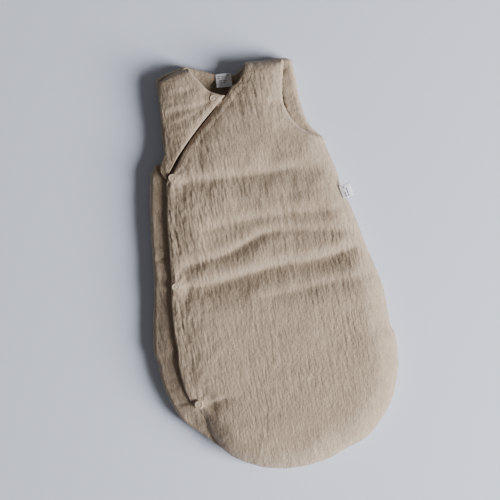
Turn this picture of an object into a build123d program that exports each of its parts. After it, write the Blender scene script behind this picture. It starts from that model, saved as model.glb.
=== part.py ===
# Baby sleeping bag, wrap front, size 70 cm, lying flat on its back.
# Millimetres. +Y runs from the foot to the neck, +Z is up through the front.
# The origin is the middle of the bag's footprint, on the surface that it lies on.
import os

from build123d import *

# Overall size
bag_length = 702.0
middle = -0.3

# Levels, from the surface up: back panel, hollow, front panel
cloth = 1.5
back_top = 14.0
rim_top = 38.0
bag_top = 52.0
lift = 0.3

# Padding and edges
wall = 14.0
pad_round = 9.0
back_round = 7.0
front_inset = 7.0
band_width = 16.0
bodice_band_width = 15.0
binding_width = 6.0
binding_height = 4.0
strip_underlap = 25.0
fold_gap = 0.6

# Tops of the thin edge bands that carry the press studs
neck_band_top = 42.0
flap_band_top = 44.5
bodice_band_top = 48.5
armhole_band_width = 4.0

# Press studs
cap_radius = 6.4
cap_height = 1.8
post_radius = 1.2
hole_radius = 1.5
stud_radius = 4.6
stud_height = 0.8
nub_radius = 1.6
nub_height = 1.4
socket_radius = 5.0
bore_radius = 2.5
bore_depth = 1.4
socket_height = 1.9
socket_depth = 2.7
tab_radius = 6.6

# Labels
label_thickness = 0.8
neck_label_size = (27.0, 24.0)
neck_label_turn = -10.0
side_tag_size = (19.0, 22.0)
side_tag_turn = 10.0


def at(x, height):
    """A point of the plan, with its height measured up from the foot seam."""
    return Vector(x - middle, height - bag_length / 2)


def shifted(runs, amount, closed=False):
    """Moves joined runs of points to their left by an amount, with mitred corners."""
    path = [point for run in runs for point in run[:-1]] + [runs[-1][-1]]
    count = len(path) - 1
    normals = []
    for start, end in zip(path, path[1:]):
        along = (end - start).normalized()
        normals.append(Vector(-along.Y, along.X))
    moved = []
    for index, point in enumerate(path):
        before = normals[(index - 1) % count] if closed or index > 0 else normals[0]
        after = normals[index % count] if closed or index < count else normals[-1]
        moved.append(point + (before + after) * (amount / (1 + before.dot(after))))
    result, first = [], 0
    for run in runs:
        result.append(moved[first:first + len(run)])
        first += len(run) - 1
    return result


def area(runs, inset=0.0):
    """The flat area inside closed runs: a run of two points is a line, a longer one a curve."""
    with BuildSketch() as flat:
        with BuildLine():
            for run in shifted(runs, inset, closed=True) if inset else runs:
                if len(run) == 2:
                    Line(*run)
                else:
                    Spline(*run)
        make_face()
    return flat.sketch


def backwards(runs):
    """The same runs, followed the other way."""
    return [run[::-1] for run in runs[::-1]]


def closed(*parts):
    """Joins open paths end to end with straight lines."""
    runs = []
    for path, following in zip(parts, parts[1:] + parts[:1]):
        runs += path
        if (path[-1][-1] - following[0][0]).length > 1e-6:
            runs.append([path[-1][-1], following[0][0]])
    return runs


def strip_along(runs, width):
    """The runs round a strip of one width, along the left of an open path."""
    return closed(runs, backwards(shifted(runs, width)))


def block(flat, low, high):
    """A straight-sided solid on a flat area, between two levels."""
    with BuildPart() as solid:
        with BuildSketch(Plane.XY.offset(low)):
            add(flat)
        extrude(amount=high - low)
    return solid.part


def pad(runs, low, high, inset=0.0, drawn_in=pad_round):
    """A solid on closed runs, whose sides lean in towards its top."""
    with BuildPart() as solid:
        with BuildSketch(Plane.XY.offset(low)):
            add(area(runs, inset))
        with BuildSketch(Plane.XY.offset(high)):
            add(area(runs, inset + drawn_in))
        loft(ruled=True)
    return solid.part


def beside(line, side, gap=0.0):
    """A large solid on one side of a fold line: 1 is its left, -1 its right."""
    start, end = line
    along = (end - start).normalized() * bag_length
    out = Vector(-along.Y, along.X) * side
    edge = out.normalized() * gap
    low, high = start - along + edge, end + along + edge
    with BuildSketch() as flat:
        with BuildLine():
            Polyline(low, high, high + out, low + out, close=True)
        make_face()
    return block(flat.sketch, 0, 2 * bag_top)


# The outline of the bag, anticlockwise from the left underarm
underarm_l, underarm_r = at(-147, 552), at(146, 548)
shoulder_l, shoulder_r = at(-117, 697), at(115, 690)
neck_l, neck_r = at(-52, 702), at(40, 699)
left_side = [
    underarm_l, at(-161, 520), at(-170, 465), at(-182, 380), at(-203, 270), at(-201, 175),
    at(-152, 86), at(-75, 17), at(10, 0),
]
right_side = [
    at(10, 0), at(98, 20), at(165, 70), at(199, 150), at(198, 270), at(170, 410), at(154, 500),
    underarm_r,
]
sides = [left_side[:-1] + right_side]
armhole_r = [[underarm_r, at(123, 575), at(113, 625), shoulder_r]]
armhole_l = [[shoulder_l, at(-125, 625), at(-130, 573), underarm_l]]
back_neck = [[neck_r, at(22, 684), at(-5, 679), at(-32, 687), neck_l]]
bag = closed(sides, armhole_r, back_neck, armhole_l)

# The front's free edge, from the underarm corner down to the end of the opening
free_edge = [[
    at(-131, 526), at(-143, 450), at(-156, 350), at(-169, 260), at(-169, 205), at(-160, 150),
    at(-143, 105), at(-126, 74),
]]
diagonal = [[at(-8, 649), at(-122, 535)], [at(-122, 535), at(-131, 526)]]
front_neck = [[at(38, 699), at(31, 681), at(19, 667), at(-8, 649)]]
front_edge = front_neck + diagonal + free_edge
front_rest = [[
    at(-126, 74), at(-72, 24), at(10, front_inset), at(96, 27), at(160, 75), at(192, 152),
    at(191, 269), at(163, 409), at(147, 500), at(137, 548),
]]
front_armhole = [[at(137, 548), at(106, 578), at(96, 620), at(105, 690)]]

# The bodice: the small panel from the left shoulder that closes over the front
bodice_edge = [[at(-131, 533), at(-15, 649)],
               [at(-15, 649), at(-36, 665), at(-45, 681), at(-50, 701)]]
bodice_armhole = [[at(-110, 696), at(-118, 625), at(-121, 592)]]
bodice_underarm = [[at(-121, 592), at(-124, 575), at(-137, 548)]]
bodice_inner = shifted(bodice_edge, bodice_band_width)
bodice_inner[0][0] = at(-93, 592)
bodice_pad = closed(bodice_inner, bodice_armhole)
bodice_hem = closed(bodice_edge, backwards(bodice_inner), bodice_underarm)

# The straight lines that the front flap and the bodice turn about
flap_fold = (at(-139, 88), at(-40, 617))
bodice_fold = (at(-138, 540), at(-56, 702))

# The corner of the flap's hem that is left out, so that it folds clear of the bodice
fold_relief = (at(-36, 623), at(-63, 596), at(-42.5, 602))

side_snaps = (at(-121, 524), at(-149, 340), at(-147, 136))
neck_snap = at(-27, 644)
tab_root = at(-13, 630)

neck_label_middle = at(-4, 668)
side_tag_middle = at(168, 449)

# The room inside
strip_edge = shifted(free_edge, strip_underlap)[0][:-2]
foot_inside = shifted([right_side], wall)[0]
room_side = [[at(-106, 548)] + strip_edge + [at(-92, 80), at(-45, 27)] + foot_inside]
side_walls = closed(sides, backwards(room_side))
shoulder_blocks = (
    closed([[neck_r, at(40, 684)]], [[at(110, 676), shoulder_r]]),
    closed([[at(-115, 683), at(-52, 687)]], [[neck_l, shoulder_l]]),
)

os.makedirs("parts", exist_ok=True)


def save(piece, name):
    """Labels a finished piece, writes it and says what it is."""
    piece.label = name
    export_step(piece, f"parts/{name}.step")
    print(f"{name}: {len(piece.solids())} solids, {piece.volume / 1000:.2f} cm3, {piece.is_valid}")


# Back panel: a sheet, its wadding and the lining that the baby lies on
with BuildPart() as back_shell:
    with BuildSketch():
        add(area(bag, back_round))
    extrude(amount=cloth)
save(back_shell.part, "back_shell")

with BuildPart() as back_wadding:
    with BuildSketch(Plane.XY.offset(cloth)):
        add(area(bag, back_round))
    with BuildSketch(Plane.XY.offset(back_top - cloth)):
        add(area(bag, cloth))
    loft(ruled=True)
save(back_wadding.part, "back_wadding")

with BuildPart() as back_lining:
    with BuildSketch(Plane.XY.offset(back_top - cloth)):
        add(area(bag, cloth))
    extrude(amount=cloth)
save(back_lining.part, "back_lining")

# Sides: cloth wrapped up over a rolled wadding, with the strip that takes the studs
with BuildPart() as side_shell:
    add(block(area(side_walls), back_top, rim_top))
    add(block(area(closed(shifted(sides, cloth), backwards(room_side))), back_top, rim_top - cloth),
        mode=Mode.SUBTRACT)
    with Locations(*[snap + Vector(0, 0, rim_top) for snap in side_snaps]):
        Cylinder(hole_radius, 4 * cloth, mode=Mode.SUBTRACT)
save(side_shell.part, "side_shell")

with BuildPart() as side_wadding:
    add(block(area(closed(shifted(sides, cloth), backwards(room_side))), back_top, rim_top - cloth))
    with Locations(*[snap + Vector(0, 0, rim_top - cloth) for snap in side_snaps]):
        Cylinder(cap_radius + lift, 2 * (cap_height + lift), mode=Mode.SUBTRACT)
save(side_wadding.part, "side_wadding")

with BuildPart() as shoulder_wadding:
    for shoulder in shoulder_blocks:
        add(block(area(shoulder), back_top, rim_top))
save(shoulder_wadding.part, "shoulder_wadding")


def padded_layers(runs, fold, bottom, name):
    """The lining, the wadding and the shell of one padded piece, cut off along its fold."""
    with BuildPart() as lining:
        add(block(area(runs), bottom, bottom + cloth))
        add(fold, mode=Mode.INTERSECT)
    with BuildPart() as wadding:
        add(pad(runs, bottom + cloth, bag_top - cloth, inset=cloth))
        add(fold, mode=Mode.INTERSECT)
    with BuildPart() as shell:
        add(pad(runs, bottom + cloth, bag_top))
        add(fold, mode=Mode.INTERSECT)
        add(wadding.part, mode=Mode.SUBTRACT)
    save(lining.part, f"{name}_lining")
    save(wadding.part, f"{name}_wadding")
    save(shell.part, f"{name}_shell")


front_pad = closed(shifted(front_edge, band_width), front_rest, front_armhole)
padded_layers(front_pad, beside(flap_fold, -1), rim_top, "front")
padded_layers(front_pad, beside(flap_fold, 1, fold_gap), rim_top + lift, "front_flap")
padded_layers(bodice_pad, beside(bodice_fold, 1), rim_top, "yoke")
padded_layers(bodice_pad, beside(bodice_fold, -1, fold_gap), rim_top + lift, "bodice")


# Edge bands: the folded hems of the openings. A snap's socket sits in a recess under its band.
def snap_holes(snaps, low, high):
    """The socket recesses and post holes that the snaps need in a band."""
    with BuildPart() as holes:
        with Locations(*[snap + Vector(0, 0, low) for snap in snaps]):
            Cylinder(socket_radius + lift, 2 * socket_depth)
            Cylinder(hole_radius, 2 * (high - low))
    return holes.part


with BuildPart() as neck_tab:
    with BuildSketch(Plane.XY.offset(rim_top)):
        with Locations(neck_snap):
            Circle(tab_radius)
        with Locations((neck_snap + tab_root) * 0.5):
            Rectangle(2 * tab_radius, (neck_snap - tab_root).length, rotation=45)
    extrude(amount=neck_band_top - rim_top)

with BuildPart() as opening_end:
    add(block(area(strip_along(front_edge, band_width)), rim_top, flap_band_top))
    add(beside(flap_fold, -1), mode=Mode.INTERSECT)
    split(bisect_by=Plane.XZ, keep=Keep.TOP)
save(opening_end.part, "opening_end")

with BuildPart() as front_neck_band:
    add(block(area(strip_along(front_edge, band_width)), rim_top, neck_band_top))
    add(beside(flap_fold, -1), mode=Mode.INTERSECT)
    split(bisect_by=Plane.XZ, keep=Keep.BOTTOM)
    add(neck_tab.part)
    with Locations(neck_snap + Vector(0, 0, neck_band_top)):
        Cylinder(hole_radius, neck_band_top, mode=Mode.SUBTRACT)
save(front_neck_band.part, "front_neck_band")

with BuildPart() as front_flap_band:
    add(block(area(strip_along(front_edge, band_width)), rim_top + lift, flap_band_top))
    add(beside(flap_fold, 1, fold_gap), mode=Mode.INTERSECT)
    with BuildSketch(Plane.XY.offset(rim_top)):
        with BuildLine():
            Polyline(*fold_relief, close=True)
        make_face()
    extrude(amount=bag_top - rim_top, mode=Mode.SUBTRACT)
    add(snap_holes(side_snaps, rim_top + lift, flap_band_top), mode=Mode.SUBTRACT)
save(front_flap_band.part, "front_flap_band")

with BuildPart() as bodice_band:
    add(block(area(bodice_hem), rim_top + lift, bodice_band_top))
    add(beside(bodice_fold, -1, fold_gap), mode=Mode.INTERSECT)
    with BuildSketch(Plane.XY.offset(rim_top)):
        with Locations(neck_snap):
            Circle(tab_radius + 1)
        with Locations((neck_snap + tab_root) * 0.5):
            Rectangle(2 * tab_radius + 2, (neck_snap - tab_root).length, rotation=45)
    extrude(amount=neck_band_top + lift - rim_top, mode=Mode.SUBTRACT)
    add(snap_holes([neck_snap], neck_band_top + lift, bodice_band_top), mode=Mode.SUBTRACT)
save(bodice_band.part, "bodice_band")

with BuildPart() as yoke_neck_band:
    add(block(area(bodice_hem), rim_top, bodice_band_top))
    add(beside(bodice_fold, 1), mode=Mode.INTERSECT)
save(yoke_neck_band.part, "yoke_neck_band")

# Bindings: the rolled edges of the armholes and of the back's neck
for name, back_edge, front_edge_run in (
    ("right_armhole_binding", armhole_r, front_armhole),
    ("left_armhole_binding", armhole_l, bodice_armhole + bodice_underarm),
):
    with BuildPart() as binding:
        add(block(area(strip_along(back_edge, binding_width)), back_top, back_top + binding_height))
        add(block(area(side_walls), back_top, rim_top), mode=Mode.SUBTRACT)
        for shoulder in shoulder_blocks:
            add(block(area(shoulder), back_top, rim_top), mode=Mode.SUBTRACT)
        outer_edge = backwards(shifted(front_edge_run, -armhole_band_width))
        add(block(area(closed(front_edge_run, outer_edge)), rim_top, neck_band_top))
    save(binding.part, name)

with BuildPart() as back_neck_binding:
    add(block(area(strip_along(back_neck, binding_width)), back_top, back_top + binding_height))
    for shoulder in shoulder_blocks:
        add(block(area(shoulder), back_top, rim_top), mode=Mode.SUBTRACT)
save(back_neck_binding.part, "back_neck_binding")


# Press studs. From the top down: cap with its post, band, socket, stud, cloth, backing cap
def raised(points, height):
    """The same points of the plan at a height."""
    return [point + Vector(0, 0, height) for point in points]


def stud_set(snaps, level, through, name):
    """The studs that stand on a strip of cloth, and the caps that back them under it."""
    with BuildPart() as studs:
        with Locations(*raised(snaps, level)):
            Cylinder(stud_radius, stud_height, align=(Align.CENTER, Align.CENTER, Align.MIN))
        with Locations(*raised(snaps, level + stud_height)):
            Cylinder(nub_radius, nub_height, align=(Align.CENTER, Align.CENTER, Align.MIN))
        chamfer(studs.faces().filter_by(Plane.XY).group_by(Axis.Z)[-1].edges(), 0.4)
    save(studs.part, f"{name}_stud" + "s" * (len(snaps) > 1))
    with BuildPart() as backs:
        with Locations(*raised(snaps, level - through)):
            Cylinder(post_radius, through, align=(Align.CENTER, Align.CENTER, Align.MIN))
            Cylinder(cap_radius, cap_height, align=(Align.CENTER, Align.CENTER, Align.MAX))
        chamfer(backs.faces().filter_by(Plane.XY).group_by(Axis.Z)[0].edges(), cap_height / 2)
    save(backs.part, f"{name}_stud_back" + "s" * (len(snaps) > 1))


def socket_set(snaps, low, top, name):
    """The sockets in the recesses of a band, and the caps that show above it."""
    with BuildPart() as sockets:
        with Locations(*raised(snaps, low + socket_depth - socket_height)):
            Cylinder(socket_radius, socket_height, align=(Align.CENTER, Align.CENTER, Align.MIN))
            Cylinder(bore_radius, 2 * bore_depth, mode=Mode.SUBTRACT)
    save(sockets.part, f"{name}_snap_socket" + "s" * (len(snaps) > 1))
    with BuildPart() as caps:
        with Locations(*raised(snaps, top)):
            Cylinder(cap_radius, cap_height, align=(Align.CENTER, Align.CENTER, Align.MIN))
            Cylinder(post_radius, top - low - socket_depth, align=(Align.CENTER, Align.CENTER, Align.MAX))
        rims = caps.faces().filter_by(Plane.XY).group_by(Axis.Z)[-1].edges()
        chamfer(rims, cap_height / 2, cap_height)
    save(caps.part, f"{name}_snap_cap" + "s" * (len(snaps) > 1))


stud_set(side_snaps, rim_top, cloth, "side")
stud_set([neck_snap], neck_band_top, neck_band_top - rim_top, "neck")
socket_set(side_snaps, rim_top + lift, flap_band_top, "flap")
socket_set([neck_snap], neck_band_top + lift, bodice_band_top, "bodice")

# Labels: plain woven tabs, one on the back's neck binding and one in the right seam
with BuildPart() as neck_label:
    with BuildSketch(Plane.XY.offset(back_top + binding_height + lift)):
        with Locations(neck_label_middle):
            Rectangle(*neck_label_size, rotation=neck_label_turn)
    extrude(amount=label_thickness)
save(neck_label.part, "neck_label")

with BuildPart() as side_tag:
    with BuildSketch(Plane.XY.offset(rim_top + lift)):
        with Locations(side_tag_middle):
            Rectangle(*side_tag_size, rotation=side_tag_turn)
    extrude(amount=label_thickness)
save(side_tag.part, "side_tag")
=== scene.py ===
from math import cos, pi, radians, sin

import bmesh
import bpy
import numpy as np
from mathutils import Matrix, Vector
from mathutils.geometry import delaunay_2d_cdt


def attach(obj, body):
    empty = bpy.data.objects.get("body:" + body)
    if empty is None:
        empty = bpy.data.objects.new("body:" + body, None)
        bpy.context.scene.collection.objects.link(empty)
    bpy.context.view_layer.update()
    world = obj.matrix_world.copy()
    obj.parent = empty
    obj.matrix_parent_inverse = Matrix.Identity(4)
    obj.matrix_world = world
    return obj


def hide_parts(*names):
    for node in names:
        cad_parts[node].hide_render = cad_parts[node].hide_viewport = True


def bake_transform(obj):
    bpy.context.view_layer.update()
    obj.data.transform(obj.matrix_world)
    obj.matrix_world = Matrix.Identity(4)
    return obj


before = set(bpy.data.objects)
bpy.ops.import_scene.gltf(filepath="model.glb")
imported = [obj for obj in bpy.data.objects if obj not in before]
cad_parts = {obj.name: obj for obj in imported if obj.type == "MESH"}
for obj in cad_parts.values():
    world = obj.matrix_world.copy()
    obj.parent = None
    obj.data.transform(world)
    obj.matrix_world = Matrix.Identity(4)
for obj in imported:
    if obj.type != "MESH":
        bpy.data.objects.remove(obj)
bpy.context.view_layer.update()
for node in bpy.context.selected_objects:
    node.select_set(False)
print("frame loaded:", len(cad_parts), "nodes")

mm = 0.001
bagLength = 702.0


def at(x, height):  # a point of the plan in millimetres; height is measured up from the foot seam
    return np.array((x + 0.3, height - bagLength / 2))


def path(*points):
    return np.array([at(*point) for point in points])


# ---- view, floor and light
view = {
    "middle": (-13, 379),  # what the camera looks straight down at
    "turn": -10.5,  # the bag lies turned, its foot to the right
    "height": 1.75,
    "level": 0.04,  # the height at which the width is measured
    "width": 0.855,  # what the view spans at that level
    "sensor": 36,
    "floorColor": (0.675, 0.727, 0.885),
    "floorSize": 5,
    "windowEnergy": 720,
    "windowSize": (2.4, 2.8),
    "windowDistance": 5.0,
    "windowAngle": 28,  # above the horizon
    "windowBearing": -20,  # from the view's right, towards its top
    "windowColor": (1.0, 0.985, 0.96),
    "roomLight": 0.12,
    "roomColor": (1.0, 0.97, 0.93),
}


def makeCamera():
    data = bpy.data.cameras.new("camera")
    camera = bpy.data.objects.new("camera", data)
    bpy.context.scene.collection.objects.link(camera)
    x, y = at(*view["middle"]) * mm
    camera.location = (x, y, view["height"])
    camera.rotation_euler = (0, 0, radians(view["turn"]))
    data.sensor_width = view["sensor"]
    data.lens = view["sensor"] * (view["height"] - view["level"]) / view["width"]
    bpy.context.scene.camera = camera


def makeLight():
    x, y = at(*view["middle"]) * mm
    bearing = radians(view["windowBearing"] + view["turn"])
    angle = radians(view["windowAngle"])
    data = bpy.data.lights.new("window", "AREA")
    data.shape = "RECTANGLE"
    data.size, data.size_y = view["windowSize"]
    data.energy = view["windowEnergy"]
    data.color = view["windowColor"]
    window = bpy.data.objects.new("window", data)
    bpy.context.scene.collection.objects.link(window)
    way = Vector((cos(bearing) * cos(angle), sin(bearing) * cos(angle), sin(angle)))
    window.location = Vector((x, y, 0)) + way * view["windowDistance"]
    window.rotation_euler = way.to_track_quat("Z", "Y").to_euler()
    world = bpy.data.worlds.new("room")
    world.use_nodes = True
    background = world.node_tree.nodes["Background"]
    background.inputs["Color"].default_value = (*view["roomColor"], 1)
    background.inputs["Strength"].default_value = view["roomLight"]
    bpy.context.scene.world = world


# ---- materials
class Maths:  # wraps a socket, so that shader maths reads as sums
    def __init__(self, kit, socket):
        self.kit, self.socket = kit, socket

    def math(self, operation, *values):
        return self.kit.node("ShaderNodeMath", {"operation": operation}, dict(enumerate(values)))

    def __add__(self, other):
        return self.math("ADD", self, other)

    def __radd__(self, other):
        return self.math("ADD", other, self)

    def __sub__(self, other):
        return self.math("SUBTRACT", self, other)

    def __rsub__(self, other):
        return self.math("SUBTRACT", other, self)

    def __mul__(self, other):
        return self.math("MULTIPLY", self, other)

    def __rmul__(self, other):
        return self.math("MULTIPLY", other, self)


class Kit:  # makes the nodes of one material
    def __init__(self, name, **uniform):
        self.material = bpy.data.materials.new(name)
        self.material.use_nodes = True
        self.tree = self.material.node_tree
        self.shader = self.tree.nodes["Principled BSDF"]
        for socket, value in uniform.items():
            self.shader.inputs[socket.replace("_", " ")].default_value = value

    def node(self, kind, settings=None, inputs=None, output=0):
        made = self.tree.nodes.new(kind)
        for key, value in (settings or {}).items():
            if key == "stops":
                for stop, (position, color) in zip(made.color_ramp.elements, value):
                    stop.position, stop.color = position, (*color, 1)
            else:
                setattr(made, key, value)
        for key, value in (inputs or {}).items():
            if isinstance(value, Maths):
                self.tree.links.new(value.socket, made.inputs[key])
            else:
                made.inputs[key].default_value = value
        return Maths(self, made.outputs[output])

    def feed(self, socket, value):
        self.tree.links.new(value.socket, self.shader.inputs[socket])

    def place(self, *scale):  # object coordinates in millimetres, divided by the scale
        coordinates = self.node("ShaderNodeTexCoord", output="Object")
        inputs = {"Vector": coordinates, "Scale": [1000 / size for size in scale]}
        return self.node("ShaderNodeMapping", {}, inputs)

    def noise(self, where, detail=3.0, roughness=0.5):
        inputs = {"Vector": where, "Scale": 1.0, "Detail": detail, "Roughness": roughness}
        return self.node("ShaderNodeTexNoise", {}, inputs, "Fac")

    def waves(self, direction, size, **more):
        inputs = {"Vector": self.place(size, size, size), "Scale": 1.0, **more}
        return self.node("ShaderNodeTexWave", {"bands_direction": direction}, inputs, "Fac")

    def blendColor(self, amount, dark, light):
        inputs = {"Factor": amount, 6: (*dark, 1), 7: (*light, 1)}
        return self.node("ShaderNodeMix", {"data_type": "RGBA"}, inputs, 2)

    def bump(self, height, distance, before=None):
        inputs = {"Height": height, "Distance": distance * mm, "Strength": 1.0}
        if before:
            inputs["Normal"] = before
        return self.node("ShaderNodeBump", {}, inputs)


colors = {  # the dark and the light end of each finish's colour; for the gauze and lining the blend between them is painted shade in the crinkles' hollows and painted light on their crests, mixed with random tone
    "gauze": ((0.28, 0.205, 0.142), (0.482, 0.38, 0.285)),
    "lining": ((0.28, 0.205, 0.14), (0.45, 0.355, 0.26)),
    "thread": ((0.34, 0.26, 0.19), (0.52, 0.42, 0.32)),
    "plastic": ((0.45, 0.365, 0.27), (0.53, 0.44, 0.335)),
    "dullPlastic": ((0.37, 0.29, 0.21), (0.46, 0.37, 0.275)),
    "satin": ((0.84, 0.85, 0.90), (0.93, 0.94, 0.97)),
    "ink": ((0.06, 0.06, 0.14), (0.11, 0.10, 0.20)),
    "floor": ([0.985 * c for c in view["floorColor"]], view["floorColor"]),
}
gauze = {  # sizes of its patterns in millimetres, and the depth of the weave
    "streaks": (3.0, 14, 14),
    "blisters": (3.6, 3.0, 3.6),
    "patches": (90, 130, 90),
    "threads": 6.6,
    "weave": 0.2,
}


def gauzeMaterial(name, dark, light, crinkle):
    kit = Kit(name, Roughness=0.92, Sheen_Weight=0.25, Sheen_Roughness=0.6)
    kit.shader.inputs["Specular IOR Level"].default_value = 0.18
    streaks = kit.noise(kit.place(*gauze["streaks"]), 4.0, 0.6)
    blisters = kit.noise(kit.place(*gauze["blisters"]), 2.0)
    patches = kit.noise(kit.place(*gauze["patches"]), 2.0)
    warp, weft = (kit.waves(way, gauze["threads"], Distortion=2.2, Detail=1.0) for way in "XY")
    relief = streaks * 0.7 + blisters * 0.3
    # painted shade and light: darker where the crinkle relief is low, lighter where it is high, plus random
    # tone from the patches
    shade = relief * 2.2 - 0.6 + (patches - 0.5) * 0.4
    kit.feed("Base Color", kit.blendColor(shade, dark, light))
    kit.feed("Normal", kit.bump(warp + weft, gauze["weave"], kit.bump(relief, crinkle)))
    kit.feed("Roughness", 0.84 + 0.14 * patches)
    return kit.material


def satinMaterial(name, dark, light):
    kit = Kit(name, Roughness=0.5, Sheen_Weight=0.15)
    soil = kit.noise(kit.place(9, 9, 9), 3.0)
    kit.feed("Base Color", kit.blendColor(soil, dark, light))
    kit.feed("Normal", kit.bump(kit.waves("Y", 4, Distortion=0.4), 0.06))
    kit.feed("Roughness", 0.42 + 0.2 * soil)
    return kit.material


def cloudedMaterial(name, dark, light, size, detail, roughness, spread=0.0):
    kit = Kit(name, Roughness=roughness)
    cloud = kit.noise(kit.place(size, size, size), detail)
    kit.feed("Base Color", kit.blendColor(cloud, dark, light))
    if spread:
        kit.feed("Roughness", roughness + spread * cloud)
    return kit.material


def makeMaterials():
    made = {
        "gauze": gauzeMaterial("crinkledGauze", *colors["gauze"], 2.0),
        "lining": gauzeMaterial("liningGauze", *colors["lining"], 1.2),
        "thread": cloudedMaterial("thread", *colors["thread"], 0.5, 2.0, 0.7),
        "plastic": cloudedMaterial("creamPlastic", *colors["plastic"], 5, 3.0, 0.28, 0.14),
        "dullPlastic": cloudedMaterial("dullPlastic", *colors["dullPlastic"], 5, 3.0, 0.5, 0.14),
        "satin": satinMaterial("labelSatin", *colors["satin"]),
        "ink": cloudedMaterial("labelInk", *colors["ink"], 1, 2.0, 0.6),
        "floor": cloudedMaterial("floorPaint", *colors["floor"], 700, 2.0, 0.65),
    }
    print("materials made:", len(made))
    return made


# ---- curves, noise and plan meshes
def smoothPath(points, step=3.0):  # a curve through the points, resampled at equal steps
    points = np.asarray(points, float)
    padded = np.vstack((2 * points[0] - points[1], points, 2 * points[-1] - points[-2]))
    t = np.linspace(0, 1, 40, endpoint=False)[:, None]
    bits = []
    for a, b, c, d in zip(padded, padded[1:], padded[2:], padded[3:]):
        bits.append(0.5 * (2 * b + (c - a) * t + (2 * a - 5 * b + 4 * c - d) * t ** 2
                           + (3 * b - a - 3 * c + d) * t ** 3))
    curve = np.vstack(bits + [points[-1:]])
    length = np.concatenate(([0], np.cumsum(np.linalg.norm(np.diff(curve, axis=0), axis=1))))
    wanted = np.linspace(0, length[-1], max(2, int(round(length[-1] / step)) + 1))
    return np.column_stack([np.interp(wanted, length, curve[:, k]) for k in (0, 1)])


def outlineOf(spec, runs, step=3.0):  # closed outline from smooth runs that share their ends
    return np.vstack([smoothPath(spec[run], step)[:-1] for run in runs])


def insetLine(line, inset):  # the line moved sideways, to the inside of its outline
    bend = np.gradient(line, axis=0)
    bend /= np.linalg.norm(bend, axis=1)[:, None]
    return line + np.column_stack((-bend[:, 1], bend[:, 0])) * inset


def nearest(points, line, closed=False):  # distance to a line of points, and how far along it
    if closed:
        line = np.vstack((line, line[:1]))
    a, b = line[:-1], line[1:]
    along = b - a
    squared = (along ** 2).sum(1)
    start = np.concatenate(([0], np.cumsum(np.sqrt(squared))))[:-1]
    distance, where = np.empty(len(points)), np.empty(len(points))
    for first in range(0, len(points), 4000):
        p = points[first:first + 4000, None, :]
        t = np.clip(((p - a) * along).sum(2) / squared, 0, 1)
        gap = np.linalg.norm(p - (a + along * t[..., None]), axis=2)
        best = gap.argmin(1)
        rows = np.arange(len(best))
        distance[first:first + 4000] = gap[rows, best]
        where[first:first + 4000] = start[best] + t[rows, best] * np.sqrt(squared[best])
    return distance, where


def gapsTo(points, spec, runs):  # the distance to each run, and how far along it
    return {run: nearest(points, smoothPath(spec[run])) for run in runs}


def least(gap, runs):  # the distance to the nearest of these runs
    return np.min([gap[run][0] for run in runs], axis=0)


def noise(x, y, seed=0):  # smooth value noise from -1 to 1
    def corner(i, j):
        value = np.sin(i * 127.1 + j * 311.7 + seed * 74.7) * 43758.5453
        return 2 * (value - np.floor(value)) - 1
    i, j = np.floor(x), np.floor(y)
    u, v = x - i, y - j
    u, v = u * u * u * (u * (6 * u - 15) + 10), v * v * v * (v * (6 * v - 15) + 10)
    low = corner(i, j) * (1 - u) + corner(i + 1, j) * u
    high = corner(i, j + 1) * (1 - u) + corner(i + 1, j + 1) * u
    return low * (1 - v) + high * v


def crinkles(x, y, seed=0):  # the gauze's upright creases, in millimetres
    bend = 2.6 * noise(x / 19, y / 42, seed + 5)
    ridges = 1 - 2 * np.abs(noise((x + bend) / 4.4, y / 26, seed)) ** 0.8
    small = 1 - 2 * np.abs(noise((x - bend) / 3.5, y / 15, seed + 1))
    cells = noise(x / 4.6, y / 4.4, seed + 2)
    patch = 0.8 + 0.45 * noise(x / 48, y / 70, seed + 3)
    blistered = 0.5 + 0.5 * noise(x / 70, y / 50, seed + 4)
    return (0.7 * ridges + 0.4 * small + (0.1 + 0.35 * blistered) * cells) * patch


def dent(points, line, depth, above, below):  # a valley along a line, steeper on its upper side
    curve = smoothPath(line, 4)
    distance, where = nearest(points, curve)
    share = where / (4.0 * (len(curve) - 1))
    under = points[:, 1] < np.interp(points[:, 0], curve[:, 0], curve[:, 1])
    width = np.where(under, below, above)
    return depth * np.exp(-(distance / width) ** 1.5) * np.clip(8 * share * (1 - share), 0, 1) ** 0.5


def roll(d, radius):  # quarter-round rise from 0 to 1 over the radius
    t = np.clip(d / radius, 0, 1)
    return np.sqrt(1 - (1 - t) ** 2)


def padding(d, start, reach):  # the slower rise of the padding behind an edge, from 0 to 1
    return 1 - np.exp(-np.clip(d - start, 0, None) / reach)


def ease(value, low, high):
    t = np.clip((value - low) / (high - low), 0, 1)
    return t * t * (3 - 2 * t)


def softMin(values, k=3.0):
    result = values[0]
    for other in values[1:]:
        h = np.clip(0.5 + 0.5 * (other - result) / k, 0, 1)
        result = other * (1 - h) + result * h - k * h * (1 - h)
    return result


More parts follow.
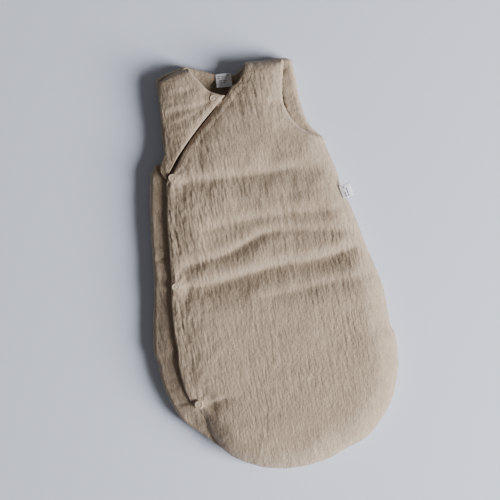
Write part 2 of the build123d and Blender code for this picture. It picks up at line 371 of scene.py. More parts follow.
def planMesh(outline, gridX, gridY, rings):  # flat triangles inside an outline, finer along its edge
    after = np.roll(outline, -1, 0) - outline
    before = outline - np.roll(outline, 1, 0)
    along = sum(way / np.linalg.norm(way, axis=1)[:, None] for way in (after, before))
    inward = np.column_stack((-along[:, 1], along[:, 0])) / np.linalg.norm(along, axis=1)[:, None]
    sets = [outline]
    for inset in rings:
        ring = outline + inward * inset
        keep = (nearest(ring, outline, True)[0] > 0.96 * inset) & inside(ring, outline)
        sets.append(ring[keep])
    low, high = outline.min(0), outline.max(0)
    gx, gy = np.meshgrid(np.arange(low[0], high[0], gridX), np.arange(low[1], high[1], gridY))
    gx[1::2] += gridX / 2
    grid = np.column_stack((gx.ravel(), gy.ravel()))
    grid = grid[inside(grid, outline)]
    grid = grid[nearest(grid, outline, True)[0] > rings[-1] + 0.6 * gridX]
    sets.append(grid)
    points = np.vstack(sets)
    count = len(outline)
    edges = [(i, (i + 1) % count) for i in range(count)]
    result = delaunay_2d_cdt([Vector(p) for p in points], edges, [list(range(count))], 1, 1e-5)
    flat = np.array([tuple(v) for v in result[0]])
    origin = [set(o) for o in result[3]]
    onEdge = np.array([bool(o) and min(o) < count for o in origin])
    faces = np.array([f for f in result[2] if len(f) == 3])
    return flat, faces, onEdge


def inside(points, outline):
    x, y = points[:, 0], points[:, 1]
    result = np.zeros(len(points), bool)
    previous = outline[-1]
    for corner in outline:
        crosses = (corner[1] > y) != (previous[1] > y)
        if crosses.any():
            run, rise = previous - corner
            result ^= crosses & (x < run * (y - corner[1]) / (rise + 1e-12) + corner[0])
        previous = corner
    return result


def newMesh(name, vertices, faces, materials, slots=None):
    mesh = bpy.data.meshes.new(name)
    mesh.from_pydata((np.asarray(vertices) * mm).tolist(), [], [tuple(f) for f in faces])
    for material in materials:
        mesh.materials.append(material)
    if slots is not None:
        mesh.polygons.foreach_set("material_index", np.asarray(slots, np.int32))
    mesh.polygons.foreach_set("use_smooth", np.ones(len(mesh.polygons), bool))
    mesh.validate()
    piece = bpy.data.objects.new(name, mesh)
    bpy.context.scene.collection.objects.link(piece)
    return piece


def closedPanel(name, plan, top, bottom, finish, lined=None):  # a pad: two skins that share their edge
    flat, faces, onEdge = plan
    lower = np.where(onEdge, np.arange(len(flat)), len(flat) + np.cumsum(~onEdge) - 1)
    upside = np.column_stack((flat, top))
    underside = np.column_stack((flat, np.minimum(bottom, top)))[~onEdge]
    allFaces = np.vstack((faces, lower[faces][:, ::-1]))
    upSlots = np.zeros(len(faces)) if lined is None else lined[faces].all(1)
    downSlots = np.ones(len(faces)) if lined is None else np.zeros(len(faces))
    piece = newMesh(name, np.vstack((upside, underside)), allFaces, [finish["gauze"], finish["lining"]],
                    np.concatenate((upSlots, downSlots)))
    print(name, "made:", len(allFaces), "faces")
    return piece


# ---- the back: the panel below, its rolled sides, and the strip that takes the press studs
back = {
    "left": path((-149, 554), (-160, 533), (-168, 497), (-176, 445), (-182, 393), (-189, 342), (-200, 291),
                 (-209, 239), (-206, 213), (-205, 185), (-200, 159), (-188, 122), (-173, 100), (-151, 79),
                 (-132, 58), (-102, 33), (-65, 7), (-20, -5)),
    "foot": path((-20, -5), (18, -6), (59, 0), (83, 9), (129, 25), (166, 59), (185, 87), (196, 113),
                 (205, 140)),
    "right": path((205, 140), (208, 188), (203, 208), (203, 242), (202, 278), (195, 314), (186, 352),
                  (180, 388), (172, 425), (163, 453), (160, 485), (154, 513), (149, 534), (147, 550)),
    "rightArm": path((147, 550), (137, 561), (128, 576), (122, 599), (119, 629), (120, 656), (118, 690)),
    "rightShoulder": path((118, 690), (104, 696), (72, 698), (39, 701)),
    "neck": path((39, 701), (22, 687), (7, 684), (-19, 692), (-43, 703), (-63, 712)),
    "leftShoulder": path((-63, 712), (-85, 709), (-106, 704), (-121, 697)),
    "leftArm": path((-121, 697), (-122, 664), (-125, 629), (-129, 595), (-132, 560), (-149, 554)),
    "edgeHeight": 15.0,
    "floor": 14.0,
    "rolledSide": 29.0,
    "strip": 36.2,
    "stripWall": (12.5, 4.5),  # what rises straight from the edge, and how much more by the shoulder
    "stripPull": 0.62,  # the strip reaches further in than the other edges
    "openings": {  # start, rise and its radius, then how much it sinks again, and between which distances
        "rightArm": (13, 15, 9, 14, 26, 38),
        "leftArm": (11, 12, 8, 9, 14, 26),
        "neck": (9, 9.5, 5, 4.5, 8, 20),
    },
    "underside": 14.0,
    "grid": (2.4, 4.4),
    "rings": (0.25, 0.7, 1.4, 2.3, 3.4, 4.8, 6.5, 8.5, 11, 14, 17, 20, 23, 26, 29, 32, 35),
}
backRuns = ("left", "foot", "right", "rightArm", "rightShoulder", "neck", "leftShoulder", "leftArm")
snaps = {
    "side": path((-121, 524), (-149, 340), (-147, 136)),
    "neck": path((-27, 644)),
    "studBase": 38.0,
}


def stripTop(points, d, along):  # the strip of the left side, with a flat place for each press stud
    y = points[:, 1]
    straight, more = back["stripWall"]
    wall = straight + more * ease(y, at(0, 285)[1], at(0, 370)[1])
    fold = 1.1 * noise(along / 26, d / 60, 31) + 0.8 * noise(along / 9, d / 40, 32)
    height = (back["edgeHeight"] + wall * roll(d, 8)
              + (back["strip"] - back["edgeHeight"] - wall) * ease(d, 3, 34)
              + fold * (roll(d, 14) - 0.6 * ease(d, 20, 32)) - 3.0 * ease(d, 45, 55))
    middle, lowest = snaps["side"][1:]
    nearLowest = np.linalg.norm(points - lowest, axis=1) < 60
    height -= 2.2 * np.exp(-((y - lowest[1] - 4) / 3.0) ** 2) * ease(d, 2, 12) * nearLowest
    height -= 2.0 * np.exp(-((y - middle[1] - 50) / 3.5) ** 2) * ease(d, 2, 10)
    for snap in snaps["side"]:
        reach = np.linalg.norm(points - snap, axis=1)
        height += (snaps["studBase"] - height) * np.exp(-(reach / 13) ** 4)
    return height + (back["floor"] - height) * ease(d, 56, 68)


def backTop(points):
    x, y = points.T
    gap = gapsTo(points, back, backRuns)
    heights = {"left": stripTop(points, *gap["left"])}
    for name in ("foot", "right", "rightShoulder", "leftShoulder"):
        d, along = gap[name]
        rise = back["rolledSide"] - back["edgeHeight"] + 0.5 * noise(along / 12, d / 30, 33)
        heights[name] = (back["edgeHeight"] + rise * roll(d, 9)
                         + (back["floor"] - back["rolledSide"]) * ease(d, 13, 28))
    d, along = gap["rightArm"]
    ripple = 0.7 * noise(along / 4.2, d / 30, 34)
    for name, (start, rise, radius, sink, near, far) in back["openings"].items():
        d = gap[name][0]
        rise += ripple * (name != "neck")
        heights[name] = start + rise * roll(d, radius) - sink * ease(d, near, far)
    # the height of the nearest edge counts, mixed where two edges meet
    reach = np.array([gap[name][0] for name in heights])
    reach[0] *= back["stripPull"]
    weight = 1 / (reach + 0.4) ** 5
    height = (np.array(list(heights.values())) * weight).sum(0) / weight.sum(0)
    edge = reach.min(0)
    height += ease(edge, 0.5, 5) * (crinkles(x, y, 40) + 0.8 * noise(x / 45, y / 50, 41))
    return height, edge


def makeBack(finish):
    outline = outlineOf(back, backRuns)
    plan = planMesh(outline, *back["grid"], back["rings"])
    flat = plan[0]
    x, y = flat.T
    top, edge = backTop(flat)
    d = nearest(flat, outline, True)[0]
    wave = 0.6 + 0.5 * noise(x / 30, y / 45, 44) + 0.5 * crinkles(x, y, 45)
    under = np.minimum(top - 0.4 * d, back["underside"]) * (1 - roll(d, 17))
    bottom = np.maximum(0.05, under + wave * ease(d, 6, 20))
    piece = closedPanel("backPanel", plan, top, bottom, finish, lined=edge > 36)
    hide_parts("back_shell", "back_wadding", "side_shell", "side_wadding", "shoulder_wadding",
                "back_lining")
    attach(piece, "bag")


# ---- the front, whose left side opens
front = {
    "neck": path((38, 698), (30, 681), (19, 666), (7, 659), (-4, 647)),
    "diagonal": path((-4, 647), (-43, 614.5), (-84.5, 576), (-118, 533)),
    "corner": path((-118, 533), (-125, 528), (-131, 521)),
    "side": path((-131, 521), (-134, 512), (-137, 489), (-142, 464), (-148, 413), (-154, 362), (-157, 341),
                 (-162, 311), (-166, 261), (-166, 233), (-169, 209), (-168, 182), (-164, 155), (-155, 133)),
    "seam": path((-155, 133), (-144, 106), (-134, 74), (-110, 38), (-68, 12), (-20, -1), (18, -2),
                 (58, 5), (82, 14), (127, 30), (162, 62), (181, 90), (192, 116), (200, 142), (203, 188),
                 (199, 209), (198, 243), (197, 279), (190, 314), (181, 352), (175, 389), (167, 426),
                 (159, 454), (155, 484), (149, 512), (144, 533), (142, 548)),
    "arm": path((142, 548), (130, 555), (114, 565), (101, 580), (92, 599), (88, 621), (92, 650), (102, 691)),
    "shoulder": path((102, 691), (70, 694), (38, 698)),
    "rings": (0.35, 0.9, 1.7, 2.8, 4.2, 5.5, 6.2, 6.9, 7.8, 9.2, 11, 13, 14.2, 15, 15.8, 17.2, 19.5),
    "hemMiddle": 40.8,
    "edgeRoll": 7.0,
    "hemTop": 45.0,
    "hemBottom": 38.6,
    "stitchRows": ((5.0, 0.55), (15.0, 0.35)),
    "sewnHeight": 29.0,
    "crown": 56.0,
    "rise": 85.0,  # how far in the padding takes to rise from the hem
    "seamReach": 82,  # and from the seam
    "armHeight": 36,
    "capHeight": 46.2,  # of the cloth under the press stud caps
    "lifts": ((245, 55, 2.6), (430, 60, 1.2)),  # where the hem rises between caps, how widely, how much
    "grid": (1.7, 3.6),
    "valleys": (  # route, depth, and how wide its upper and lower sides are
        (path((-120, 516), (-76, 511), (-19, 508), (44, 504), (96, 502), (150, 483)), 9.0, 8, 19),
        (path((-92, 424), (-34, 430), (48, 429), (163, 420)), 4.8, 8, 14),
        (path((-144, 370), (-100, 374), (-43, 382), (20, 403), (77, 398), (178, 379)), 7.5, 7, 13),
        (path((-148, 337), (-84, 334), (-19, 340), (36, 345), (102, 344), (178, 353)), 13.0, 8, 21),
        (path((-24, 295), (58, 297), (186, 303)), 3.6, 8, 16),
        (path((5, 640), (33, 630), (58, 622), (78, 616)), 2.4, 4, 9),
        (path((64, 621), (88, 612)), 6.0, 3, 6),
        (path((104, 588), (117, 573), (140, 559)), 4.5, 3, 7),
        (path((-12, 645), (-48, 612), (-90, 572)), 8.0, 6, 10),
        (path((-20, 600), (30, 590), (90, 560)), 1.4, 12, 14),
        (path((-140, 132), (-118, 136), (-98, 139)), 4.5, 3, 13),
        (path((60, 462), (110, 462), (160, 470)), 1.6, 6, 9),
    ),
}
frontRuns = ("neck", "diagonal", "corner", "side", "seam", "arm", "shoulder")
freeRuns = frontRuns[:4]
flapFold = path((-139, 88), (-40, 617))


def hemProfile(d, along, spec, seed):  # flat folded edge with two sunk rows of stitching, then the padding
    pucker = 0.55 * noise(along / 5.2, d / 12, seed) + 0.5 * noise(along / 17, d / 20, seed + 1)
    height = spec["hemMiddle"] + (spec["hemTop"] - spec["hemMiddle"]) * roll(d, spec["edgeRoll"])
    height += pucker * ease(d, 0.3, 3)
    for row, depth in spec["stitchRows"]:
        height -= depth * np.exp(-((d - row) / 1.2) ** 2)
    return height + (spec["crown"] + 1.5 - spec["hemTop"]) * padding(d, 4, spec["rise"])


def hemUnder(d, spec):
    return spec["hemMiddle"] - (spec["hemMiddle"] - spec["hemBottom"]) * roll(d, 2.4)


def hemLift(y, d, lifts):  # how far the hem of the side stands up between the press studs
    lift = sum(amount * np.exp(-((y - at(0, place)[1]) / width) ** 2) for place, width, amount in lifts)
    return lift * np.exp(-d / 14)


def frontTop(points, puff=None, creased=0.8):
    x, y = points.T
    gap = gapsTo(points, front, frontRuns)
    edge, free = least(gap, frontRuns), least(gap, freeRuns)
    along = np.select([gap[run][0] <= free for run in freeRuns],
                      [gap[run][1] + 500 * k for k, run in enumerate(freeRuns)])
    profiles = [hemProfile(free, along, front, 51) + hemLift(y, gap["side"][0], front["lifts"])]
    d, along = gap["seam"]
    dome = (1 - (1 - np.clip(d / front["seamReach"], 0, 1)) ** 2.3) ** 0.62
    gather = 0.7 * noise(along / 9, d / 26, 52) * np.exp(-d / 24) * ease(d, 0, 4)
    profiles.append(front["sewnHeight"] + (front["crown"] - front["sewnHeight"]) * dome + gather)
    d, along = gap["arm"]
    profiles.append(front["armHeight"] + 8 * roll(d, 5) + 10 * padding(d, 5, 26)
                    + 0.3 * noise(along / 4, d / 20, 53))
    d = gap["shoulder"][0]
    profiles.append(front["sewnHeight"] + 18 * roll(d, 24) + 6 * padding(d, 0, 60))
    height = softMin(profiles, 4.0)
    inner = ease(edge, 10, 34)
    for line, depth, above, below in front["valleys"]:
        height -= dent(points, line, depth, above, below) * (0.4 + 0.6 * inner)
    for k, snap in enumerate(snaps["side"]):  # a ring of small gathers round a flat place for the cap
        away = points - snap
        reach, turn = np.linalg.norm(away, axis=1), np.arctan2(away[:, 1], away[:, 0])
        height -= 3.0 * np.exp(-((reach - 17) / 11) ** 2) * inner
        height += 0.7 * np.sin(9 * turn + k) * np.exp(-((reach - 17) / 9) ** 2)
        height += (front["capHeight"] - height) * np.exp(-(reach / 8.2) ** 6)
    if puff is not None:
        height += puff(points)
    height += inner * (0.9 * noise(x / 52, y / 34, 54) + 0.35 * noise(x / 24, y / 15, 55))
    calm = 0.72 + 0.28 * ease(y, at(0, 120)[1], at(0, 330)[1])
    return height + creased * ease(edge, 1.0, 5) * calm * crinkles(x, y, 60)


def frontBottom(points, top):
    x, y = points.T
    gap = gapsTo(points, front, frontRuns)
    edge = least(gap, frontRuns)
    free = hemUnder(least(gap, freeRuns), front) + hemLift(y, gap["side"][0], front["lifts"][:1])
    sewn = front["sewnHeight"] + 9.5 * roll(least(gap, ("seam", "shoulder")), 20)
    arm = front["armHeight"] + 2.2 * roll(gap["arm"][0], 4)
    bottom = softMin([free, sewn, arm], 1.5) + 0.25 * crinkles(x, y, 61) * ease(edge, 2, 8)
    return np.minimum(bottom, top - 0.9 * np.minimum(edge, 3.0))


settling = {
    "spacing": 6.0,
    "spare": -0.035,  # negative, so the cloth grows
    "pressure": 1.0,
    "quality": 6,
    "mass": 0.2,
    "stretching": 14,
    "shearing": 5,
    "bending": 12,
    "frames": 26,
    "most": 3.2,  # what it may move the cloth by
    "softening": 9,
}


def settleFront():  # a cloth with some length to spare settles over the padding; returns how far it moved
    outline = outlineOf(front, frontRuns)
    low, high = outline.min(0), outline.max(0)
    step = settling["spacing"]
    columns, rows = (int(n) + 2 for n in (high - low) / step)
    gx, gy = np.meshgrid(low[0] + step * np.arange(columns), low[1] + step * np.arange(rows))
    flat = np.column_stack((gx.ravel(), gy.ravel()))
    within = inside(flat, outline)
    moved = np.zeros(len(flat))
    z = frontTop(flat, creased=0.0)
    corners = [[a, a + 1, a + columns + 1, a + columns] for a in range(columns * (rows - 1))
               if a % columns < columns - 1]
    faces = [corner for corner in corners if within[corner].all()]
    piece = newMesh("settling", np.column_stack((flat, z)), faces, [])
    edge = nearest(flat, outline, True)[0]
    hold = 1 - ease(edge, 6, 24)
    for line, depth, above, below in front["valleys"]:
        hold = np.maximum(hold, 0.10 * dent(flat, line, depth, above, below))
    group = piece.vertex_groups.new(name="held")
    for k, amount in enumerate(hold):
        group.add([k], float(np.clip(amount, 0, 1)), "REPLACE")
    cloth = piece.modifiers.new("settling", "CLOTH")
    rules = cloth.settings
    rules.quality, rules.mass = settling["quality"], settling["mass"]
    rules.tension_stiffness = rules.compression_stiffness = settling["stretching"]
    rules.shear_stiffness, rules.bending_stiffness = settling["shearing"], settling["bending"]
    rules.shrink_min = rules.shrink_max = settling["spare"]
    rules.use_pressure, rules.uniform_pressure_force = True, settling["pressure"]
    rules.vertex_group_mass = "held"
    rules.effector_weights.gravity = 0
    cloth.collision_settings.use_collision = False
    cloth.point_cache.frame_end = settling["frames"]
    for number in range(1, settling["frames"] + 1):
        bpy.context.scene.frame_set(number)
    settled = piece.evaluated_get(bpy.context.evaluated_depsgraph_get()).to_mesh()
    height = np.array([v.co.z for v in settled.vertices]) / mm
    moved = np.where(within, np.clip(height - z, -settling["most"], settling["most"]), 0)
    bpy.data.objects.remove(piece)
    bpy.context.scene.frame_set(1)
    print("front settled: moved by", moved.min().round(1), "to", moved.max().round(1), "mm")
    moved = moved.reshape(rows, columns)
    for turn in range(settling["softening"]):
        around = np.pad(moved, 1)
        moved = (4 * moved + around[:-2, 1:-1] + around[2:, 1:-1] + around[1:-1, :-2] + around[1:-1, 2:]) / 8

    def puff(points):
        u, v = ((points - low) / step).T
        i, j = np.clip(v.astype(int), 0, rows - 2), np.clip(u.astype(int), 0, columns - 2)
        u, v = ease(u - j, 0, 1), ease(v - i, 0, 1)
        below = moved[i, j] * (1 - u) + moved[i, j + 1] * u
        above = moved[i + 1, j] * (1 - u) + moved[i + 1, j + 1] * u
        return below * (1 - v) + above * v
    return puff


def makeFront(finish, puff):
    plan = planMesh(outlineOf(front, frontRuns, 2.6), *front["grid"], front["rings"])
    top = frontTop(plan[0], puff)
    piece = closedPanel("frontPanel", plan, top, frontBottom(plan[0], top), finish)
    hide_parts(*(f"{part}_{layer}" for part in ("front", "front_flap")
                         for layer in ("shell", "wadding", "lining")),
                "front_neck_band", "front_flap_band", "opening_end")
    bendFront(piece)


def bendFront(piece):
    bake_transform(piece)


# ---- the bodice: the small panel from the left shoulder that closes over the front
bodice = {
    "corner": path((-138, 548), (-138, 535), (-132.5, 524)),
    "diagonal": path((-132.5, 524), (-102.5, 561), (-62, 600.5), (-31, 626.5), (-6.5, 646.5)),
    "neck": path((-6.5, 646.5), (-16, 650), (-28, 656), (-37, 664), (-45, 677), (-54, 690), (-62, 706)),
    "shoulder": path((-62, 706), (-86, 702), (-113, 692)),
    "arm": path((-113, 692), (-118, 660), (-120, 626), (-122, 592), (-128, 565), (-138, 548)),
    "rings": front["rings"],
    "hemMiddle": 41.6,
    "edgeRoll": 6.5,
    "hemTop": 47.0,
    "hemBottom": 39.6,
    "stitchRows": ((5.0, 0.5), (13.5, 0.3)),
    "crown": 52.0,
    "rise": 52.0,
    "armHeight": 34,
    "sewnHeight": 29,
    "capHeight": 46.9,
    "grid": (1.6, 2.8),
    "creases": (
        (path((-112, 636), (-70, 634), (-48, 638), (-30, 641)), 3.2, 4, 8),
        (path((-112, 612), (-80, 618), (-48, 630)), 1.6, 4, 7),
        (path((-100, 668), (-78, 664), (-58, 668)), 1.4, 5, 7),
    ),
}
bodiceRuns = ("corner", "diagonal", "neck", "shoulder", "arm")
bodiceFold = path((-138, 540), (-56, 702))


def bodiceTop(points):
    x, y = points.T
    gap = gapsTo(points, bodice, bodiceRuns)
    edge, free = least(gap, bodiceRuns), least(gap, bodiceRuns[:3])
    along = np.where(gap["diagonal"][0] <= free, gap["diagonal"][1], gap["neck"][1] + 300)
    profiles = [hemProfile(free, along, bodice, 71)]
    d, along = gap["arm"]
    profiles.append(bodice["armHeight"] + 4 * roll(d, 5) + 15 * padding(d, 4, 42)
                    + 0.4 * noise(along / 4, d / 20, 73))
    d = gap["shoulder"][0]
    profiles.append(bodice["sewnHeight"] + 17 * roll(d, 22) + 6 * padding(d, 0, 50))
    height = softMin(profiles, 3.0)
    for line, depth, above, below in bodice["creases"]:
        height -= dent(points, line, depth, above, below)
    reach = np.linalg.norm(points - snaps["neck"][0], axis=1)
    height -= 1.2 * np.exp(-((reach - 14) / 8) ** 2)
    height += (bodice["capHeight"] - height) * np.exp(-(reach / 8.0) ** 6)
    height += 0.9 * np.exp(-((reach - 9.5) / 2.6) ** 2)
    height += ease(edge, 8, 20) * 0.9 * noise(x / 24, y / 20, 74)
    return height + ease(edge, 1, 5) * 0.9 * crinkles(x, y, 75)


def makeBodice(finish):
    plan = planMesh(outlineOf(bodice, bodiceRuns, 2.2), *bodice["grid"], bodice["rings"])
    flat = plan[0]
    top = bodiceTop(flat)
    gap = gapsTo(flat, bodice, bodiceRuns)
    edge = least(gap, bodiceRuns)
    shoulder = bodice["sewnHeight"] + 9.5 * roll(gap["shoulder"][0], 18)
    arm = bodice["armHeight"] + 4.6 * roll(gap["arm"][0], 5)
    neckStud = np.linalg.norm(flat - snaps["neck"][0], axis=1)
    bottom = softMin([hemUnder(edge, bodice), shoulder, arm], 1.5) + 3.4 * np.exp(-(neckStud / 11) ** 4)
    bottom = np.minimum(bottom, top - 0.9 * np.minimum(edge, 3.0))
    piece = closedPanel("bodicePanel", plan, top, bottom, finish)
    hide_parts(*(f"{part}_{layer}" for part in ("bodice", "yoke")
                         for layer in ("shell", "wadding", "lining")),
                "bodice_band", "yoke_neck_band")
    bendBodice(piece)


def bendBodice(piece):
    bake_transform(piece)


# ---- rolled edges: tubes of cloth with the padding turned inside
def tube(name, line, width, height, seed, finish):  # an oval tube along points in space
    forward = np.gradient(line, axis=0)
    forward /= np.linalg.norm(forward, axis=1)[:, None]
    sideways = np.column_stack((-forward[:, 1], forward[:, 0], np.zeros(len(line))))
    sideways /= np.linalg.norm(sideways, axis=1)[:, None]
    upward = np.cross(forward, sideways)
    count = rolled["sides"]
    turns = np.linspace(0, 2 * pi, count, endpoint=False)
    share = np.linspace(0, 1, len(line))
    taper = np.sqrt(np.clip(1 - (2 * share - 1) ** 24, 0.0009, 1))
    rows = []
    for k, (point, side, up, thin) in enumerate(zip(line, sideways, upward, taper)):
        swell = 1 + rolled["ripple"] * noise(np.full(count, k * 0.7), 2 * np.cos(turns), seed)
        rows.append(point + (side * (np.cos(turns) * width / 2 * swell * thin)[:, None]
                             + up * (np.sin(turns) * height / 2 * swell * thin)[:, None]))
    faces = []
    for first in range(0, (len(line) - 1) * count, count):
        for j in range(count):
            a, b = first + j, first + (j + 1) % count
            faces.append((a, b, b + count, a + count))
    faces.append(tuple(range(count))[::-1])
    faces.append(tuple(range((len(line) - 1) * count, len(line) * count)))
    return newMesh(name, np.vstack(rows), faces, [finish["gauze"]])


rolled = {
    "sides": 16,
    "ripple": 0.12,
    "edges": (  # name, node, line, then its inset, level, width, height and seed
        ("rightArmholeEdge", "right_armhole_binding", front["arm"], 2.5, 36.5, 8.0, 7.0, 81),
        ("leftArmholeEdge", "left_armhole_binding", bodice["arm"], 3.0, 34.0, 8.0, 7.0, 81),
        ("backNeckEdge", "back_neck_binding", back["neck"], 4.5, 15.0, 7.0, 7.5, 83),
    ),
}


def makeEdges(finish):
    for name, node, run, inset, level, width, height, seed in rolled["edges"]:
        line = insetLine(smoothPath(run, 2.0), inset)
        line = np.column_stack((line, np.full(len(line), level)))
        piece = tube(name, line, width, height, seed, finish)
        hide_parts(node)
        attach(piece, "bag")
    print("rolled edges made")


# ---- topstitching
stitch = {
    "length": 2.7,
    "pitch": 3.9,
    "radius": 0.34,
    "sides": 6,
    "rings": ((-0.5, 0.35), (-0.32, 0.9), (0.0, 1.0), (0.32, 0.9), (0.5, 0.35)),  # place and thickness
}


def stitchRow(line, heights):  # small lozenges that lie along a line; the heights are those of the cloth
    vertices, faces = [], []
    sides, radius = stitch["sides"], stitch["radius"]
    turns = np.linspace(0, 2 * pi, sides, endpoint=False)
    for point, ahead, z in zip(line[:-1], line[1:], heights):
        way = (ahead - point) / np.linalg.norm(ahead - point)
        across = np.array((-way[1], way[0]))
        first = len(vertices)
        for share, thin in stitch["rings"]:
            middle = point + way * share * stitch["length"]
            for turn in turns:
                flat = middle + across * cos(turn) * radius * thin
                vertices.append((*flat, z + (sin(turn) * thin + 0.35 - 0.9 * (2 * share) ** 4) * radius))
        last = first + (len(stitch["rings"]) - 1) * sides
        for ring in range(first, last, sides):
            for j in range(sides):
                a, b = ring + j, ring + (j + 1) % sides
                faces.append((a, b, b + sides, a + sides))
        faces.append(tuple(first + j for j in range(sides))[::-1])
        faces.append(tuple(last + j for j in range(sides)))
    return vertices, faces


def makeStitches(name, runs, spec, topOf, finish, bend):
    allVertices, allFaces = [], []
    for run in runs:
        for row, depth in spec["stitchRows"]:
            curve = insetLine(smoothPath(spec[run], stitch["pitch"]), row)
            steps = np.linalg.norm(np.diff(curve, axis=0), axis=1)
            keep = np.concatenate((steps > 0.4 * stitch["pitch"], [True]))
            curve = curve[keep][2:-2]
            curve = curve[nearest(curve, outlineOf(spec, runs))[0] > row - 0.6]
            vertices, faces = stitchRow(curve, topOf(curve))
            faces = [tuple(index + len(allVertices) for index in face) for face in faces]
            allVertices += vertices
            allFaces += faces
    piece = newMesh(name, allVertices, allFaces, [finish["thread"]])
    bend(piece)
    print(name, "made:", len(allFaces), "faces")


# ---- press studs
cap = {
    "radius": 6.4,
    "thickness": 2.2,
    "rings": ((0.35, 0.0), (1.3, 0.0), (0.6, -0.45), (1.4, 0.0), (0.5, 0.28)),  # inset, then lift
    "rounding": 0.45,
    "flapBase": 46.0,
    "bodiceBase": 46.6,
}


def deselect():
    for item in bpy.context.selected_objects:
        item.select_set(False)


def pickFaces(piece, test):  # in edit mode: selects only the faces that pass the test
    shape = bmesh.from_edit_mesh(piece.data)
    for face in shape.faces:
        face.select_set(test(face))
    shape.select_flush_mode()
    bmesh.update_edit_mesh(piece.data)


def snapCap(name, place, base, plastic):
    deselect()
    bpy.ops.mesh.primitive_cylinder_add(vertices=40, radius=cap["radius"] * mm, depth=cap["thickness"] * mm,
                                        location=(*(place * mm), (base + cap["thickness"] / 2) * mm))
    piece = bpy.context.active_object
    piece.name = piece.data.name = name
    bpy.ops.object.mode_set(mode="EDIT")
    bpy.ops.mesh.select_mode(type="FACE")
    pickFaces(piece, lambda face: face.normal.z > 0.9)
    for inset, lift in cap["rings"]:
        bpy.ops.mesh.inset(thickness=inset * mm)
        bpy.ops.transform.translate(value=(0, 0, lift * mm))
    bpy.ops.object.mode_set(mode="OBJECT")
    rounding = piece.modifiers.new("rounding", "BEVEL")
    rounding.width = cap["rounding"] * mm
    rounding.segments = 3
    rounding.limit_method = "ANGLE"
    rounding.angle_limit = radians(40)
    bpy.ops.object.modifier_apply(modifier="rounding")
    bpy.ops.object.transform_apply(location=True, rotation=True, scale=True)
    bpy.ops.object.shade_smooth_by_angle(angle=radians(40))
    piece.data.materials.append(plastic)
    return piece


def makeSnaps(finish):
    shades = (finish["dullPlastic"], finish["plastic"], finish["dullPlastic"])
    caps = [snapCap(f"flapSnapCap{k + 1}", place, cap["flapBase"], shade)
            for k, (place, shade) in enumerate(zip(snaps["side"], shades))]
    for k, piece in enumerate(caps):
        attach(piece, "front_flap")
        if k == 0:
            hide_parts("flap_snap_caps")
    neckCap = snapCap("bodiceSnapCap", snaps["neck"][0], cap["bodiceBase"], finish["dullPlastic"])
    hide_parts("bodice_snap_cap")
    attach(neckCap, "bodice")
    for name in ("side_studs", "side_stud_backs", "neck_stud", "neck_stud_back", "flap_snap_sockets",
                 "bodice_snap_socket"):
        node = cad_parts[name]
        node.data.materials.clear()
        node.data.materials.append(finish["plastic"])
    print("press studs made")


tab = {
    "reach": 20,
    "radius": 7.6,
    "height": 40.0,
    "half": 1.9,  # of its thickness
    "grid": (1.3, 1.5),
    "rings": (0.3, 0.8, 1.6, 2.6),
}


def makeTab(finish):  # the tongue of the front's edge that carries the neck stud
    along, across = np.array((1, -1)) / 2 ** 0.5, np.array((1, 1)) / 2 ** 0.5
    reach, radius = tab["reach"], tab["radius"]
    arc = [(-radius * sin(turn), radius * cos(turn)) for turn in np.linspace(0, pi, 15)]
    corners = [(reach, radius)] + arc + [(reach, -radius)]
    stud = snaps["neck"][0]
    rounded = np.array([stud + along * u + across * v for u, v in corners])
    outline = np.vstack((smoothPath(rounded, 1.5), smoothPath(rounded[[-1, 0]], 1.5)[1:-1]))
    plan = planMesh(outline, *tab["grid"], tab["rings"])
    flat = plan[0]
    d = nearest(flat, outline, True)[0]
    half = tab["half"] * roll(d, 2.2)
    rough = 0.25 * crinkles(flat[:, 0], flat[:, 1], 90) * ease(d, 0.5, 2.5)
    top = tab["height"] + half + rough * (np.linalg.norm(flat - stud, axis=1) > 5)
    piece = closedPanel("neckTab", plan, top, tab["height"] - half, finish)
    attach(piece, "bag")


# ---- woven labels, with plain bars
neckLabel = {
    "middle": at(-4, 675.5),
    "size": (27.0, 24.0),
    "turn": -4,
    "bend": ((-1.6, 681.6), (-2.4, 677.2)),
    "bendHeight": 0.0191,
    "height": 19.9,
    "cloth": 0.45,
    "bars": ((-8.5, 7.5, 5.5), (-1.0, 7.5, 6.5), (6.8, 7.5, 4.0), (-8.8, 4.2, 4.0), (-2.6, 4.2, 5.0),
             (4.2, 4.2, 3.6), (-5.6, 0.0, 5.6), (2.4, 0.0, 6.6), (-4.4, -3.4, 3.0), (0.6, -3.4, 4.0)),
    "barWidth": 1.15,
}
sideTag = {
    "middle": at(168, 449),
    "size": (19.0, 22.0),
    "turn": 10,
    "height": 38.4,
    "slope": 1.4,
    "cloth": 0.45,
    "bars": ((0.8, 2.6, 3.2), (0.8, -2.4, 4.6), (0.8, -7.6, 3.4), (-3.4, -3.6, 3.0), (-3.4, -8.0, 3.2),
             (-2.6, 7.0, 2.4)),
    "barWidth": 1.9,
    "upright": True,  # the bars run along the fold
}


def turned(spec, u, v):  # from a label's own directions to the plan
    angle = radians(spec["turn"])
    x = spec["middle"][0] + u * cos(angle) - v * sin(angle)
    y = spec["middle"][1] + u * sin(angle) + v * cos(angle)
    return x, y


def labelRise(u, v):  # the label's corner nearest the foot curls up
    curl = 5.5 * np.clip((-u - v - 13) / 12, 0, 1) ** 1.6
    return neckLabel["height"] + 0.9 * np.cos(u / 7.5) + 1.1 * np.clip(-v / 12, 0, 1) ** 2 + curl


def tagRise(u, v, bulge=0.9):  # the tag droops towards the bag and waves at its fold
    droop = sideTag["slope"] * (1 - ease(u, -sideTag["size"][0] / 2, -2))
    return sideTag["height"] + bulge - droop + 0.7 * sin(v / 5.0) * ease(u, -6, 8)


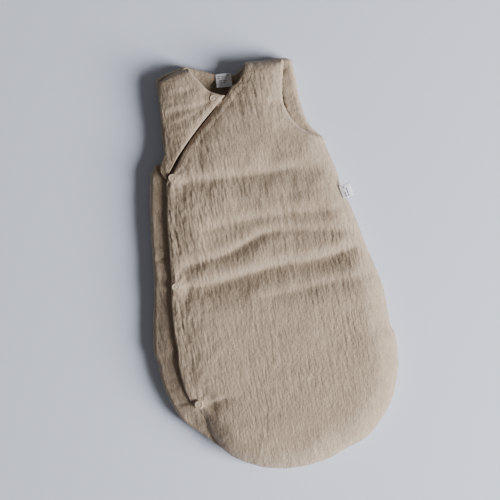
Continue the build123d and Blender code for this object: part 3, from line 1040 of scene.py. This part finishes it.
def sheetMesh(name, surface, thickness, finish):  # a thin closed cloth from a grid of points in space
    surface = np.asarray(surface, float)
    rows, columns = surface.shape[:2]
    du, dv = np.gradient(surface, axis=0), np.gradient(surface, axis=1)
    normal = np.cross(dv, du)
    normal /= np.linalg.norm(normal, axis=2)[..., None]
    skins = np.concatenate(((surface + normal * thickness / 2).reshape(-1, 3),
                            (surface - normal * thickness / 2).reshape(-1, 3)))
    count = rows * columns
    faces = []
    for i in range(rows - 1):
        for j in range(columns - 1):
            a = i * columns + j
            face = np.array((a, a + 1, a + columns + 1, a + columns))
            faces += [tuple(face), tuple(face[::-1] + count)]
    border = ([(0, j) for j in range(columns - 1)] + [(i, columns - 1) for i in range(rows - 1)]
              + [(rows - 1, j) for j in range(columns - 1, 0, -1)]
              + [(i, 0) for i in range(rows - 1, 0, -1)])
    border = [i * columns + j for i, j in border]
    for a, b in zip(border, border[1:] + border[:1]):
        faces.append((b, a, a + count, b + count))
    piece = newMesh(name, skins, faces, [finish])
    fixNormals(piece)
    return piece


def fixNormals(piece):
    shape = bmesh.new()
    shape.from_mesh(piece.data)
    bmesh.ops.recalc_face_normals(shape, faces=shape.faces)
    shape.to_mesh(piece.data)
    shape.free()


def makeBars(name, spec, rise, finish):  # thin bars that follow the cloth of their label
    vertices, faces = [], []
    stations = np.linspace(-0.5, 0.5, 5)
    for u, v, length in spec["bars"]:
        first = len(vertices)
        for level in (0.0, 0.16):
            for edge in (-0.5, 0.5):
                for share in stations:
                    a, b = u + share * length, v + edge * spec["barWidth"]
                    if "upright" in spec:
                        a, b = u - edge * spec["barWidth"], v + share * length
                    vertices.append((*turned(spec, a, b), float(rise(a, b)) + spec["cloth"] / 2 + level))

        def corner(level, edge, k):
            return first + (level * 2 + edge) * len(stations) + k
        rim = ((0, 0), (0, 1), (1, 1), (1, 0))
        for p, q in zip(rim, rim[1:] + rim[:1]):
            faces += [(corner(*p, k), corner(*p, k + 1), corner(*q, k + 1), corner(*q, k)) for k in range(4)]
        faces += [tuple(corner(*p, 0) for p in rim[::-1]), tuple(corner(*p, 4) for p in rim)]
    piece = newMesh(name, vertices, faces, [finish])
    fixNormals(piece)
    for polygon in piece.data.polygons:
        polygon.use_smooth = False
    return piece


def makeNeckLabel(finish):
    width, length = neckLabel["size"]
    u, v = np.meshgrid(np.linspace(-width / 2, width / 2, 40), np.linspace(-length / 2, length / 2, 36))
    surface = np.dstack((*turned(neckLabel, u, v), labelRise(u, v)))
    piece = sheetMesh("neckLabel", surface, neckLabel["cloth"], finish["satin"])
    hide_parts("neck_label")
    bars = makeBars("neckLabelBars", neckLabel, labelRise, finish["ink"])
    start, end = (Vector((*at(*point) * mm, neckLabel["bendHeight"])) for point in neckLabel["bend"])
    for item in (piece, bars):  # both baked where they lie; the bend's ends are found but not used
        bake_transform(item)


def makeSideTag(finish):
    width, length = sideTag["size"]
    share = np.linspace(0, 1, 61)  # once out along the top, round the fold and back underneath
    out = (width / 2 - 1.0) - np.abs(share - 0.5) * 2 * (width - 1.0)
    bulge = 0.9 * np.sin(np.clip((0.5 - share) / 0.035, -1, 1) * pi / 2)
    surface = []
    for offset in np.linspace(-length / 2, length / 2, 24):
        x, y = turned(sideTag, out, offset * (1 - 0.02 * np.cos(out)))
        surface.append(np.column_stack((x, y, tagRise(out, offset, bulge))))
    piece = sheetMesh("sideTag", surface, sideTag["cloth"], finish["satin"])
    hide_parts("side_tag")
    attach(piece, "side_tag")
    bars = makeBars("sideTagBars", sideTag, tagRise, finish["ink"])
    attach(bars, "side_tag")
    print("labels made")


def makeFloor(finish):
    deselect()
    x, y = at(*view["middle"]) * mm
    bpy.ops.mesh.primitive_plane_add(size=view["floorSize"], location=(x, y, 0))
    floor = bpy.context.active_object
    floor.name = "floor"
    floor.data.materials.append(finish["floor"])


makeCamera()
makeLight()
finish = makeMaterials()
makeFloor(finish)
makeBack(finish)
puff = settleFront()
makeFront(finish, puff)
makeBodice(finish)
makeEdges(finish)
makeTab(finish)
makeSnaps(finish)
makeNeckLabel(finish)
makeSideTag(finish)
makeStitches("frontStitches", ("neck", "diagonal", "side"), front, lambda points: frontTop(points, puff),
             finish, bendFront)
makeStitches("bodiceStitches", ("diagonal", "neck"), bodice, bodiceTop, finish, bendBodice)
